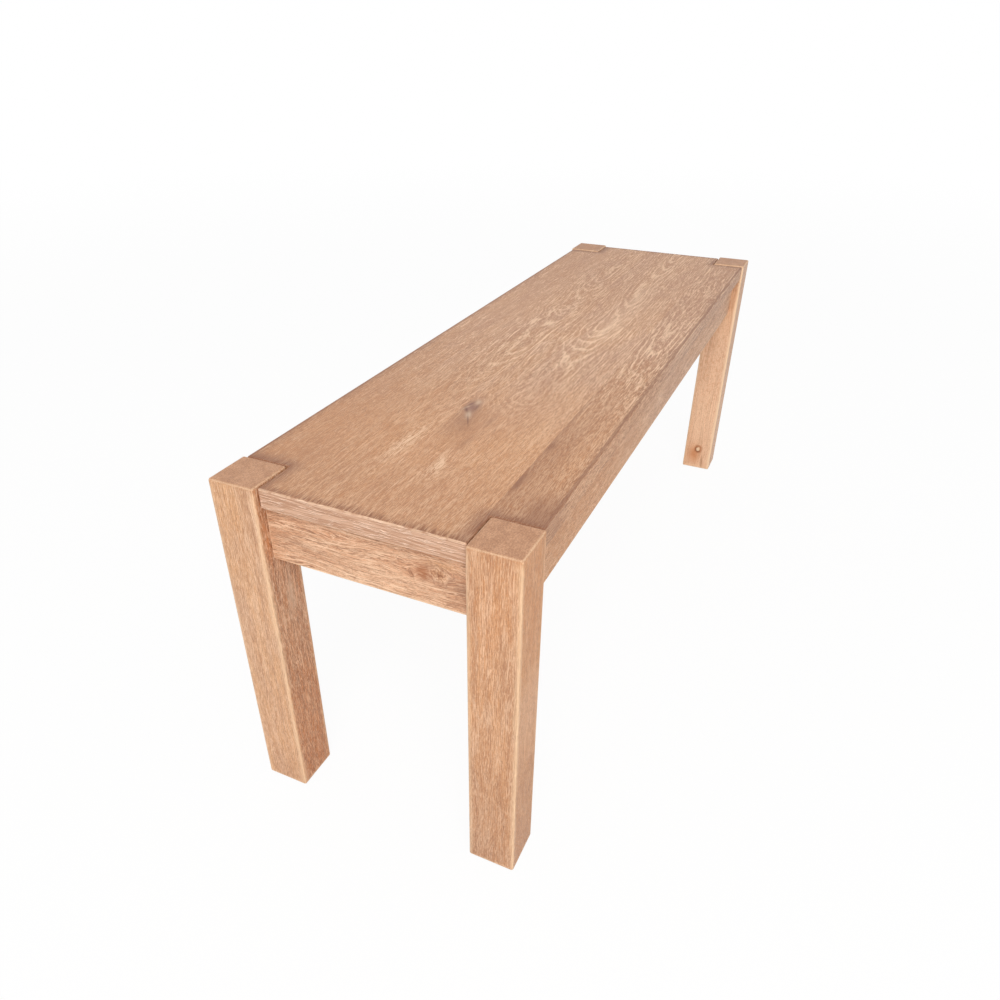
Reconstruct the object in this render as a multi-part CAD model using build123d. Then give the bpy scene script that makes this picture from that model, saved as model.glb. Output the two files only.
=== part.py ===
from build123d import *
from math import sqrt
import os

# A solid oak dining bench. Square corner posts run up through the notched seat, over a bolted
# apron frame. Millimetres, +X along the bench to its right end, +Y to its back, +Z up.
# The origin is on the floor, under the middle of the seat.
# Every corner piece is drawn at the back right corner and mirrored to the other three.

# Overall size
bench_length = 1220.0
bench_depth = 370.0
bench_height = 470.0

# Legs, which are square posts with rounded arrises
leg_side = 60.0
leg_easing = 3.0
leg_flat_cut = 16.0
leg_flat_overlap = 6.0

# Seat, glued up from boards that run along the bench, and notched round the legs.
# The outer boards are as wide as the notches and a little more
top_thickness = 25.0
top_drop = 1.5
top_end_recess = 7.0
top_side_recess = 3.0
top_easing = 2.0
notch_clearance = 1.5
outer_board_past_notch = 4.5
middle_seam_share = 0.41

# Apron rails under the seat
apron_height = 70.0
apron_thickness = 22.0
apron_end_recess = 15.0
apron_side_recess = 15.0
apron_easing = 1.5

# Corner blocks, which the hanger bolts draw against the legs
block_height = 60.0
block_thickness = 30.0
block_gap = 2.0
block_bolt_height_shares = (0.3, 0.7)
block_screw_height_shares = (0.15, 0.85)
block_screw_share = 0.42
block_screw_wood = 15.0
block_top_screw_offset = 15.0

# Cross rail at mid length, dowelled into the side aprons
rail_thickness = 22.0
rail_height = 50.0
rail_screw_share = 0.25
dowel_radius = 4.0
dowel_in_rail = 18.0
dowel_in_apron = 12.0
dowel_height_shares = (0.3, 0.7)

# Cleats that carry the seat's screws along the side aprons
cleat_side = 20.0
cleat_end_gap = 15.0
cleat_apron_screw_shares = (0.12, 0.5, 0.88)
cleat_top_screw_shares = (0.3, 0.7)
slot_length = 10.0
slot_width = 5.0

# Hanger bolts with their washers and nuts
bolt_radius = 4.0
bolt_in_leg = 42.0
bolt_tip = 7.0
bolt_end_proud = 4.0
bolt_hole_radius = 4.6
bolt_end_bevel = 0.8
washer_radius = 9.0
washer_thickness = 1.6
nut_across_flats = 13.0
nut_thickness = 6.5

# Pan head wood screws, all alike
screw_radius = 2.0
screw_length = 32.0
screw_tip = 5.0
screw_head_radius = 4.0
screw_head_height = 2.5
screw_head_bevel = 1.0
screw_seat_wood = 20.0
screw_pocket_radius = 4.75

# Nailed floor glides
glide_radius = 11.0
glide_thickness = 3.0
glide_bevel = 0.8
nail_radius = 1.1
nail_length = 15.0
nail_tip = 2.5

# Fits and cuts
side_fit = 0.05
end_fit = 1.0
cut_overrun = 5.0

# Heights and places that follow from the sizes above
top_upper = bench_height - top_drop
top_lower = top_upper - top_thickness
apron_lower = top_lower - apron_height
leg_inner_x = bench_length / 2 - leg_side
leg_inner_y = bench_depth / 2 - leg_side
notch_x = leg_inner_x - notch_clearance
notch_y = leg_inner_y - notch_clearance
top_end_x = bench_length / 2 - top_end_recess
top_side_y = bench_depth / 2 - top_side_recess
end_apron_outer_x = bench_length / 2 - apron_end_recess
end_apron_inner_x = end_apron_outer_x - apron_thickness
side_apron_outer_y = bench_depth / 2 - apron_side_recess
side_apron_inner_y = side_apron_outer_y - apron_thickness
outer_seam_y = notch_y - outer_board_past_notch
middle_seam_y = -outer_seam_y + 2 * outer_seam_y * (1 - middle_seam_share)

# The leg's bolt flat, and the block's two long faces, cross the corner's diagonal at these depths
# from the leg's outer corner
flat_depth = (2 * leg_side - leg_flat_cut) / sqrt(2)
block_near_depth = flat_depth + block_gap
block_far_depth = block_near_depth + block_thickness
block_lower = top_lower - block_height

CORNERS = {
    "front_left": (-1, -1),
    "front_right": (1, -1),
    "back_left": (-1, 1),
    "back_right": (1, 1),
}
SIDES = {"front": -1, "back": 1}
ENDS = {"left": -1, "right": 1}
DOWN = Vector(0, 0, -1)

# Ways that a screw's head or a nut faces at the back right corner
OFF_END = Vector(-1, 0, 0)
OFF_SIDE = Vector(0, -1, 0)
INWARD = Vector(-1, -1, 0).normalized()


def board(low, high):
    """A square edged board between its lowest and highest corners."""
    size = Vector(*high) - Vector(*low)
    return Pos(*low) * Box(size.X, size.Y, size.Z, align=Align.MIN)


def rod(radius, low, high):
    """A cylinder about the Z axis between two heights."""
    cylinder = Cylinder(radius, high - low, align=(Align.CENTER, Align.CENTER, Align.MIN))
    return Pos(0, 0, low) * cylinder


def point_down(radius, top, length):
    """A cone about the Z axis that runs down from a height to its point."""
    cone = Cone(0, radius, length, align=(Align.CENTER, Align.CENTER, Align.MAX))
    return Pos(0, 0, top) * cone


def stood_at(shape, place, direction):
    """Moves a shape drawn about the Z axis to a place, with +Z turned to a direction."""
    return shape.moved(Plane(origin=place, z_dir=direction).location)


def mirrored(shape, side_x, side_y):
    """Carries a shape drawn at the back right to another corner, side or end."""
    if side_x < 0:
        shape = mirror(shape, about=Plane.YZ)
    if side_y < 0:
        shape = mirror(shape, about=Plane.XZ)
    return shape


def at_every_corner(shapes):
    """Copies of a list of shapes at all four corners."""
    return [mirrored(shape, *sides) for sides in CORNERS.values() for shape in shapes]


def diagonal_point(depth, height):
    """A point on the back right corner's diagonal, at a depth from the leg's outer corner."""
    step = depth / sqrt(2)
    return Vector(bench_length / 2 - step, bench_depth / 2 - step, height)


def block_face_ends(depth):
    """The ends in plan of a face across the back right corner: on the end apron, on the side apron."""
    reach = bench_length / 2 + bench_depth / 2 - depth * sqrt(2)
    on_end = Vector(end_apron_inner_x, reach - end_apron_inner_x)
    on_side = Vector(reach - side_apron_inner_y, side_apron_inner_y)
    return on_end, on_side


def between(low, high, share):
    """The place at a share of the way from low to high."""
    return low + (high - low) * share


# Fasteners, each drawn about the Z axis


def hanger_bolt():
    """Starts at the leg's flat: its point runs down into the leg, its nut end runs up."""
    reach = block_gap + block_thickness + washer_thickness + nut_thickness + bolt_end_proud
    shank = rod(bolt_radius, bolt_tip - bolt_in_leg, reach)
    shank = chamfer(shank.edges().sort_by(Axis.Z)[-1], bolt_end_bevel)
    return shank + point_down(bolt_radius, bolt_tip - bolt_in_leg, bolt_tip)


def bolt_bore():
    """The bolt's hole in the leg, from the flat down."""
    return rod(bolt_radius + side_fit, -bolt_in_leg - end_fit, cut_overrun)


def washer():
    return rod(washer_radius, 0, washer_thickness) - rod(bolt_hole_radius, 0, washer_thickness)


def hexagon_nut():
    outline = RegularPolygon(nut_across_flats / 2, 6, major_radius=False)
    body = extrude(outline, nut_thickness)
    return body - rod(bolt_radius + side_fit, 0, nut_thickness)


def wood_screw():
    """Seats its head at zero height, with its shank below."""
    head = rod(screw_head_radius, 0, screw_head_height)
    head = chamfer(head.edges().sort_by(Axis.Z)[-1], screw_head_bevel)
    shank = rod(screw_radius, screw_tip - screw_length, 0)
    return head + shank + point_down(screw_radius, screw_tip - screw_length, screw_tip)


def screw_bore(pocket_depth=0):
    """The hole for a screw's shank, with a driver's pocket above the seat where it has one."""
    bore = rod(screw_radius + side_fit, -screw_length - end_fit, cut_overrun)
    if pocket_depth > 0:
        bore += rod(screw_pocket_radius, 0, pocket_depth)
    return bore


def dowel_at(length, radius, joint_y):
    """A round pin along Y through the joint between the cross rail and an apron."""
    pin = rod(radius, joint_y - dowel_in_rail, joint_y - dowel_in_rail + length)
    return pin.moved(Plane(origin=(0, 0, 0), z_dir=(0, 1, 0)).location)


# Places of the fasteners. A seat is where a screw's head lands


def bolt_heights():
    return [between(block_lower, top_lower, share) for share in block_bolt_height_shares]


def block_screw_seats():
    """Screws that hold the back right block to its two aprons, each with the way its head faces."""
    depth = between(block_near_depth, block_far_depth, block_screw_share)
    on_end, on_side = block_face_ends(depth)
    seats = []
    for share in block_screw_height_shares:
        height = Vector(0, 0, between(block_lower, top_lower, share))
        seats.append((on_end + OFF_END * block_screw_wood + height, OFF_END))
        seats.append((on_side + OFF_SIDE * block_screw_wood + height, OFF_SIDE))
    return seats


def block_top_seat():
    """One screw runs up through the back right block into the seat."""
    middle = diagonal_point((block_near_depth + block_far_depth) / 2, top_lower - screw_seat_wood)
    along_block = Vector(1, -1, 0).normalized()
    return middle + along_block * block_top_screw_offset


def cleat_span():
    """The two ends along X of the cleat at the back right."""
    block_end = block_face_ends(block_far_depth)[1].X
    return rail_thickness / 2 + cleat_end_gap, block_end - cleat_end_gap


def cleat_apron_seats():
    """Screws that hold the back right cleat to its apron."""
    start, end = cleat_span()
    height = top_lower - cleat_side / 2
    face = side_apron_inner_y - cleat_side
    return [Vector(between(start, end, share), face, height) for share in cleat_apron_screw_shares]


def cleat_top_seats():
    """Screws that run up through the back right cleat's slots into the seat."""
    start, end = cleat_span()
    middle = side_apron_inner_y - cleat_side / 2
    height = top_lower - cleat_side
    return [Vector(between(start, end, share), middle, height) for share in cleat_top_screw_shares]


def rail_top_seats():
    """Screws that run up through the cross rail into the seat."""
    height = top_lower - screw_seat_wood
    reach = 2 * side_apron_inner_y * rail_screw_share
    return [Vector(0, side * reach, height) for side in SIDES.values()]


def top_screws():
    """Every screw that holds the seat down: at the blocks, along the cleats and in the cross rail."""
    corner = [block_top_seat()] + cleat_top_seats()
    screws = at_every_corner([stood_at(wood_screw(), seat, DOWN) for seat in corner])
    return screws + [stood_at(wood_screw(), seat, DOWN) for seat in rail_top_seats()]


def top_screw_bores():
    corner = [block_top_seat()] + cleat_top_seats()
    bores = at_every_corner([stood_at(screw_bore(), seat, DOWN) for seat in corner])
    return bores + [stood_at(screw_bore(), seat, DOWN) for seat in rail_top_seats()]


# Wooden pieces


def seat_blank():
    """The glued up seat in one piece, notched round the legs, with all its outer arrises rounded."""
    blank = board((-top_end_x, -top_side_y, top_lower), (top_end_x, top_side_y, top_upper))
    notch = board(
        (notch_x, notch_y, top_lower - cut_overrun),
        (top_end_x + cut_overrun, top_side_y + cut_overrun, top_upper + cut_overrun),
    )
    blank -= at_every_corner([notch])
    upright = blank.edges().filter_by(Axis.Z)
    notch_corners = upright.sort_by(lambda edge: edge.center().X ** 2 + edge.center().Y ** 2)[:4]
    rounded = [edge for edge in blank.edges() if edge not in notch_corners]
    return fillet(rounded, top_easing) - top_screw_bores()


def seat_boards():
    """The seat cut at its glue lines, from the front board to the back one."""
    blank = seat_blank()
    seams = [-top_side_y, -outer_seam_y, middle_seam_y, outer_seam_y, top_side_y]
    names = ["front", "middle_front", "middle_back", "back"]
    boards = {}
    for name, low, high in zip(names, seams[:-1], seams[1:]):
        strip = board((-top_end_x, low, top_lower), (top_end_x, high, top_upper))
        boards["top_board_" + name] = blank & strip
    return boards


def leg():
    """The back right post, with the flat and the holes that its bolts need."""
    post = board(
        (leg_inner_x, leg_inner_y, glide_thickness),
        (bench_length / 2, bench_depth / 2, bench_height),
    )
    post = fillet(post.edges(), leg_easing)
    flat_lower = apron_lower - leg_flat_overlap
    flat_cut = Box(
        leg_side, 2 * leg_side, top_lower - flat_lower, align=(Align.MAX, Align.CENTER, Align.MIN)
    )
    post -= Location(diagonal_point(flat_depth, flat_lower), (0, 0, 45)) * flat_cut
    for height in bolt_heights():
        post -= stood_at(bolt_bore(), diagonal_point(flat_depth, height), INWARD)
    nail_hole = rod(nail_radius + side_fit, -cut_overrun, nail_length + end_fit)
    return post - nail_hole.moved(Location(foot_centre()))


def foot_centre():
    return Vector(bench_length / 2 - leg_side / 2, bench_depth / 2 - leg_side / 2, glide_thickness)


def eased_apron(rail, outer_face_axis):
    """Rounds the arrises round an apron's outer face, and the lower one behind."""
    outer = rail.faces().sort_by(outer_face_axis)[-1]
    behind = rail.faces().sort_by(outer_face_axis)[0].edges().sort_by(Axis.Z)[0]
    return fillet(outer.edges() + [behind], apron_easing)


def side_apron():
    """The back apron, between the two back legs, with the holes for all that is fixed to it."""
    rail = board(
        (-leg_inner_x, side_apron_inner_y, apron_lower),
        (leg_inner_x, side_apron_outer_y, top_lower),
    )
    rail = eased_apron(rail, Axis.Y)
    bores = [stood_at(screw_bore(), seat, OFF_SIDE) for seat in cleat_apron_seats()]
    bores += [stood_at(screw_bore(), *seat) for seat in block_screw_seats() if seat[1] is OFF_SIDE]
    rail -= [mirrored(bore, side, 1) for side in ENDS.values() for bore in bores]
    return rail - rail_dowel_holes()


def end_apron():
    """The right apron, between the two right legs."""
    rail = board(
        (end_apron_inner_x, -leg_inner_y, apron_lower),
        (end_apron_outer_x, leg_inner_y, top_lower),
    )
    rail = eased_apron(rail, Axis.X)
    bores = [stood_at(screw_bore(), *seat) for seat in block_screw_seats() if seat[1] is OFF_END]
    return rail - [mirrored(bore, 1, side) for side in SIDES.values() for bore in bores]


def corner_block():
    """A block set across the back right corner, mitred onto the inner faces of both aprons."""
    near_on_end, near_on_side = block_face_ends(block_near_depth)
    far_on_end, far_on_side = block_face_ends(block_far_depth)
    outline = Polygon(near_on_end, near_on_side, far_on_side, far_on_end, align=None)
    block = Pos(0, 0, block_lower) * extrude(outline, block_height)
    for height in bolt_heights():
        hole = rod(bolt_hole_radius, 0, block_gap + block_thickness + cut_overrun)
        block -= stood_at(hole, diagonal_point(flat_depth, height), INWARD)
    block -= [stood_at(screw_bore(block_thickness), *seat) for seat in block_screw_seats()]
    return block - stood_at(screw_bore(block_height), block_top_seat(), DOWN)


def cleat():
    """The back right cleat, slotted across the bench so that the seat can swell and shrink."""
    start, end = cleat_span()
    strip = board(
        (start, side_apron_inner_y - cleat_side, top_lower - cleat_side),
        (end, side_apron_inner_y, top_lower),
    )
    strip -= [stood_at(screw_bore(), seat, OFF_SIDE) for seat in cleat_apron_seats()]
    slot = extrude(SlotOverall(slot_length, slot_width, rotation=90), cleat_side + 2 * cut_overrun)
    return strip - [Pos(0, 0, -cut_overrun) * Location(seat) * slot for seat in cleat_top_seats()]


def rail_dowels(length, radius):
    """Round pins through the cross rail's back joint."""
    heights = [between(top_lower - rail_height, top_lower, share) for share in dowel_height_shares]
    return [Pos(0, 0, height) * dowel_at(length, radius, side_apron_inner_y) for height in heights]


def rail_dowel_holes():
    length = dowel_in_rail + dowel_in_apron + 2 * end_fit
    return [Pos(0, -end_fit, 0) * hole for hole in rail_dowels(length, dowel_radius + side_fit)]


def cross_rail():
    rail = board(
        (-rail_thickness / 2, -side_apron_inner_y, top_lower - rail_height),
        (rail_thickness / 2, side_apron_inner_y, top_lower),
    )
    rail -= [mirrored(hole, 1, side) for side in SIDES.values() for hole in rail_dowel_holes()]
    return rail - [stood_at(screw_bore(rail_height), seat, DOWN) for seat in rail_top_seats()]


def foot_glide():
    """A round glide under the back right leg, with the nail that holds it."""
    disc = rod(glide_radius, -glide_thickness, 0)
    disc = chamfer(disc.edges().sort_by(Axis.Z)[0], glide_bevel)
    nail = rod(nail_radius, 0, nail_length - nail_tip)
    nail_point = Cone(nail_radius, 0, nail_tip, align=(Align.CENTER, Align.CENTER, Align.MIN))
    glide = disc + nail + Pos(0, 0, nail_length - nail_tip) * nail_point
    return glide.moved(Location(foot_centre()))


def fastener_groups():
    """Fasteners that are alike, one group for each kind and use."""
    flats = [diagonal_point(flat_depth, height) for height in bolt_heights()]
    washer_seats = [diagonal_point(block_far_depth, height) for height in bolt_heights()]
    nut_seats = [place + INWARD * washer_thickness for place in washer_seats]
    bolts = [stood_at(hanger_bolt(), place, INWARD) for place in flats]
    washers = [stood_at(washer(), place, INWARD) for place in washer_seats]
    nuts = [stood_at(hexagon_nut(), place, INWARD) for place in nut_seats]
    block_screws = [stood_at(wood_screw(), *seat) for seat in block_screw_seats()]
    cleat_screws = [stood_at(wood_screw(), seat, OFF_SIDE) for seat in cleat_apron_seats()]
    dowels = rail_dowels(dowel_in_rail + dowel_in_apron, dowel_radius)
    return {
        "hanger_bolts": at_every_corner(bolts),
        "hanger_bolt_washers": at_every_corner(washers),
        "hanger_bolt_nuts": at_every_corner(nuts),
        "corner_block_screws": at_every_corner(block_screws),
        "cleat_screws": at_every_corner(cleat_screws),
        "top_screws": top_screws(),
        "cross_rail_dowels": [mirrored(pin, 1, side) for side in SIDES.values() for pin in dowels],
    }


def all_pieces():
    """Every node of the bench by name, each with its solids."""
    pieces = {name: [shape] for name, shape in seat_boards().items()}
    at_corners = {
        "leg": leg(),
        "corner_block": corner_block(),
        "top_cleat": cleat(),
        "foot_glide": foot_glide(),
    }
    for name, shape in at_corners.items():
        for corner, sides in CORNERS.items():
            pieces[f"{name}_{corner}"] = [mirrored(shape, *sides)]
    long_rail = side_apron()
    for name, side in SIDES.items():
        pieces["side_apron_" + name] = [mirrored(long_rail, 1, side)]
    short_rail = end_apron()
    for name, side in ENDS.items():
        pieces["end_apron_" + name] = [mirrored(short_rail, side, 1)]
    pieces["cross_rail"] = [cross_rail()]
    pieces.update(fastener_groups())
    return pieces


os.makedirs("parts", exist_ok=True)
for node, shapes in all_pieces().items():
    solids = [solid for shape in shapes for solid in shape.solids()]
    whole = solids[0] if len(solids) == 1 else Compound(children=solids)
    whole.label = node
    export_step(whole, f"parts/{node}.step")
    print(f"{node}: {len(solids)} solids, {sum(solid.volume for solid in solids):.0f} cubic mm")
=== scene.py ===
import bmesh
import bpy
from math import atan2, ceil, cos, pi, radians, sin, tan
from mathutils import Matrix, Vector


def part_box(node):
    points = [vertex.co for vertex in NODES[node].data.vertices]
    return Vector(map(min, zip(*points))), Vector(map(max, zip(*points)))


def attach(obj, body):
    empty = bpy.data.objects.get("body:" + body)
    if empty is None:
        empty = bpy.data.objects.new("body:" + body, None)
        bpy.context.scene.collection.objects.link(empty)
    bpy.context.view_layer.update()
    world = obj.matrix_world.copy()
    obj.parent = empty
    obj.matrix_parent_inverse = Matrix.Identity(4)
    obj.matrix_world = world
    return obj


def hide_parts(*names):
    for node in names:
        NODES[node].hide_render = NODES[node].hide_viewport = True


# A limed oak dining bench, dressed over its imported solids. Metres, with +Z up, as the frame has them.
# The wood is worked out in millimetres from each point's own place, so that every face is cut from one log.

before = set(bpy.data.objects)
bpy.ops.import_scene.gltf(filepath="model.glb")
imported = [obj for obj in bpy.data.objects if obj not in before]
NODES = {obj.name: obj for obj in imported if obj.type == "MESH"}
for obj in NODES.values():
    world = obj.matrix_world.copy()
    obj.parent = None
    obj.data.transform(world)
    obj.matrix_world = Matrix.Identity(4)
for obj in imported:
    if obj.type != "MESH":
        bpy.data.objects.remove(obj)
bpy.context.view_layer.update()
MM = 0.001

# Camera: its place, its turn about Z and its dip under the level in degrees, its lens and the width of its
# picture in millimetres, how far the picture is shifted as shares of its width, and how far the camera sees
CAMERA_PLACE = (-1.154, -0.400, 0.877)
CAMERA_TURN = -64.77
CAMERA_DIP = 33.16
CAMERA_LENS = 28.14
CAMERA_PICTURE = 36.0
CAMERA_SHIFT = (0.0176, 0.0383)
CAMERA_REACH = 200.0

# Lamp: a round softbox, with its place, what it aims at, its width, its power in watts and its colour
LAMP_PLACE = Vector((-3.0, -1.4, 3.1))
LAMP_AIM = Vector((0.0, 0.0, 0.3))
LAMP_WIDTH = 2.4
LAMP_POWER = 110
LAMP_COLOUR = (1.0, 0.98, 0.95)

# Sky: how strongly it lights the bench. Seen directly it is plain white
SKY_STRENGTH = 0.60

# Floor: a round sheet, with its radius in metres, its white in linear light and what its speckle adds to that
FLOOR_RADIUS = 40.0
FLOOR_CORNERS = 64
FLOOR_WHITE = 0.90
FLOOR_SPECKLE = 0.02

# The speckle's size and where the floor fades to white, in millimetres, and its share of glow near the bench
FLOOR_SPECKLE_SIZE = 40.0
FLOOR_FADE_FROM = 1500.0
FLOOR_FADE_TO = 6000.0
FLOOR_GLOW = 0.94


# Shader arithmetic


class Signal:
    """A number that shader nodes work out, with ordinary arithmetic."""

    def __init__(self, socket):
        self.socket = socket

    def __add__(self, other):
        return maths("ADD", self, other)

    def __radd__(self, other):
        return maths("ADD", other, self)

    def __sub__(self, other):
        return maths("SUBTRACT", self, other)

    def __rsub__(self, other):
        return maths("SUBTRACT", other, self)

    def __mul__(self, other):
        return maths("MULTIPLY", self, other)

    def __rmul__(self, other):
        return maths("MULTIPLY", other, self)

    def __truediv__(self, other):
        return maths("DIVIDE", self, other)


def plug(tree, entry, value):
    """Feeds a node's entry from a signal, or sets it to a plain value."""
    if isinstance(value, Signal):
        tree.links.new(value.socket, entry)
    elif isinstance(value, bpy.types.NodeSocket):
        tree.links.new(value, entry)
    else:
        entry.default_value = value


def tree_of(*values):
    """The node tree that the first signal or socket among the values belongs to."""
    for value in values:
        if isinstance(value, Signal):
            return value.socket.id_data
        if isinstance(value, bpy.types.NodeSocket):
            return value.id_data
    raise ValueError("none of the values comes from a node")


def maths(operation, *values):
    """The signal that one Math node gives from some values."""
    tree = tree_of(*values)
    node = tree.nodes.new("ShaderNodeMath")
    node.operation = operation
    for entry, value in zip(node.inputs, values):
        plug(tree, entry, value)
    return Signal(node.outputs[0])


def lowest(*values):
    found = values[0]
    for value in values[1:]:
        found = maths("MINIMUM", found, value)
    return found


def highest(*values):
    found = values[0]
    for value in values[1:]:
        found = maths("MAXIMUM", found, value)
    return found


def distance(x, y):
    """How far the point x, y lies from nought."""
    return maths("SQRT", x * x + y * y)


def ramp(value, low, high):
    """Rises smoothly from 0 at low to 1 at high, or falls where low is the larger."""
    tree = tree_of(value)
    node = tree.nodes.new("ShaderNodeMapRange")
    node.interpolation_type = "SMOOTHSTEP"
    for name, given in (("Value", value), ("From Min", low), ("From Max", high)):
        plug(tree, node.inputs[name], given)
    return Signal(node.outputs[0])


def hill(value, middle, reach):
    """A smooth hill, 1 at the middle and about a third at the reach."""
    away = (value - middle) / reach
    return maths("EXPONENT", away * away * -1.0)


def vector_of(x, y, z):
    tree = tree_of(x, y, z)
    node = tree.nodes.new("ShaderNodeCombineXYZ")
    for entry, value in zip(node.inputs, (x, y, z)):
        plug(tree, entry, value)
    return node.outputs[0]


def noise(place, sizes, seed=0.0, detail=1.0, rough=0.5):
    """Soft noise about 0.5, with lumps of the given sizes along, across and into the wood."""
    scaled = [part / size + seed for part, size in zip(place, sizes)]
    vector = vector_of(*scaled)
    tree = vector.id_data
    node = tree.nodes.new("ShaderNodeTexNoise")
    tree.links.new(vector, node.inputs["Vector"])
    node.inputs["Scale"].default_value = 1.0
    node.inputs["Detail"].default_value = detail
    node.inputs["Roughness"].default_value = rough
    return Signal(node.outputs[0])


def seen_directly(tree):
    """1 for the rays that the eye follows, straight, mirrored or through glass, and 0 for the rest."""
    rays = tree.nodes.new("ShaderNodeLightPath")
    kinds = ("Is Camera Ray", "Is Glossy Ray", "Is Transmission Ray")
    return highest(*(Signal(rays.outputs[kind]) for kind in kinds))


def tint(factor, first, second):
    """Mixes two colours, each a colour or the outlet of a node, by a factor."""
    tree = tree_of(factor, first, second)
    node = tree.nodes.new("ShaderNodeMix")
    node.data_type = "RGBA"
    plug(tree, node.inputs["Factor"], factor)
    entries = [entry for entry in node.inputs if entry.type == "RGBA"]
    for entry, value in zip(entries, (first, second)):
        plug(tree, entry, value)
    return next(outlet for outlet in node.outputs if outlet.type == "RGBA")


def colour(red, green, blue):
    """A colour from the 0 to 255 figures that a screen shows."""
    def linear(part):
        part = part / 255
        return part / 12.92 if part <= 0.04045 else ((part + 0.055) / 1.055) ** 2.4
    return (linear(red), linear(green), linear(blue), 1.0)


def grey(level):
    """A neutral colour from a level in linear light."""
    return (level, level, level, 1.0)


def new_object(name, data):
    """An object in the scene that shows a mesh, lamp or camera."""
    piece = bpy.data.objects.new(name, data)
    bpy.context.scene.collection.objects.link(piece)
    return piece


def new_material(name):
    """A material with its Principled node, and the place of each point in millimetres."""
    material = bpy.data.materials.new(name)
    material.use_nodes = True
    tree = material.node_tree
    shader = next(node for node in tree.nodes if node.type == "BSDF_PRINCIPLED")
    where = tree.nodes.new("ShaderNodeTexCoord").outputs["Object"]
    split = tree.nodes.new("ShaderNodeSeparateXYZ")
    tree.links.new(where, split.inputs[0])
    place = [Signal(outlet) / MM for outlet in split.outputs]
    return material, shader, place


def bump(shader, height, depth, strength=1.0):
    """Raises and lowers the shaded surface by a height, of which 1 is the given depth in metres."""
    tree = shader.id_data
    node = tree.nodes.new("ShaderNodeBump")
    node.inputs["Strength"].default_value = strength
    node.inputs["Distance"].default_value = depth
    tree.links.new(height.socket, node.inputs["Height"])
    tree.links.new(node.outputs[0], shader.inputs["Normal"])


# Oak

OAK_WARM = colour(204, 151, 110)
OAK_COOL = colour(199, 152, 122)
OAK_GOLD = colour(222, 166, 116)
OAK_TAN = colour(210, 150, 102)
OAK_LATE = colour(176, 124, 90)
OAK_DARK = colour(128, 84, 60)
OAK_LIME = colour(246, 212, 180)
# The pale of worn arrises, also used as a painted highlight on them and on the stub's heart
PALE_WEAR_AND_HIGHLIGHT = colour(246, 212, 174)
OAK_STAIN = colour(142, 96, 72)
OAK_GREY = colour(210, 180, 154)
OAK_RED = colour(198, 120, 62)
OAK_ORANGE = colour(208, 142, 86)
# A pale blond laid over the far front leg as painted light
PAINTED_LIGHT_BLOND = colour(252, 208, 172)
OAK_CREAM = colour(232, 190, 156)
OAK_KNOT = colour(136, 86, 58)
STUB_BROWN = colour(172, 104, 60)
KNOT_PURPLE = colour(146, 106, 90)
KNOT_DARK = colour(112, 72, 58)
SAWN_BROWN = colour(186, 140, 111)
SAWN_PALE = colour(214, 172, 144)
SAWN_DARK = colour(140, 96, 74)
SAWN_LIME = colour(252, 218, 192)
POST_TOP_BROWN = colour(184, 134, 101)
POST_TOP_PALE = colour(200, 150, 116)
FRONT_COOL = colour(196, 150, 122)
BACK_LEG_COOL = colour(208, 158, 120)
NEAR_LEG_WARM = colour(212, 150, 100)
END_APRON_WARM = colour(232, 184, 148)
END_APRON_COOL = colour(216, 162, 126)

X_AXIS = Vector((1, 0, 0))
Y_AXIS = Vector((0, 1, 0))
Z_AXIS = Vector((0, 0, 1))
BOARD_AXES = (X_AXIS, Y_AXIS, Z_AXIS)
LEG_AXES = (Z_AXIS, Y_AXIS, X_AXIS)
SIDE_APRON_AXES = (X_AXIS, Z_AXIS, Y_AXIS)
END_APRON_AXES = (Y_AXIS, Z_AXIS, X_AXIS)
BLOCK_AXES = (Z_AXIS, X_AXIS, Y_AXIS)
DOWEL_AXES = (Y_AXIS, X_AXIS, Z_AXIS)


def measure(place, axis):
    """How far each point lies along an axis."""
    total = None
    for part, share in zip(place, axis):
        if share:
            step = part * share
            total = step if total is None else total + step
    return total


def edge_distance(place, low, high):
    """How far a point on the surface of a box lies from the box's nearest arris."""
    x, y, z = (lowest(part - start, end - part) for part, start, end in zip(place, low, high))
    return highest(lowest(x, y), lowest(highest(x, y), z))


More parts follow.
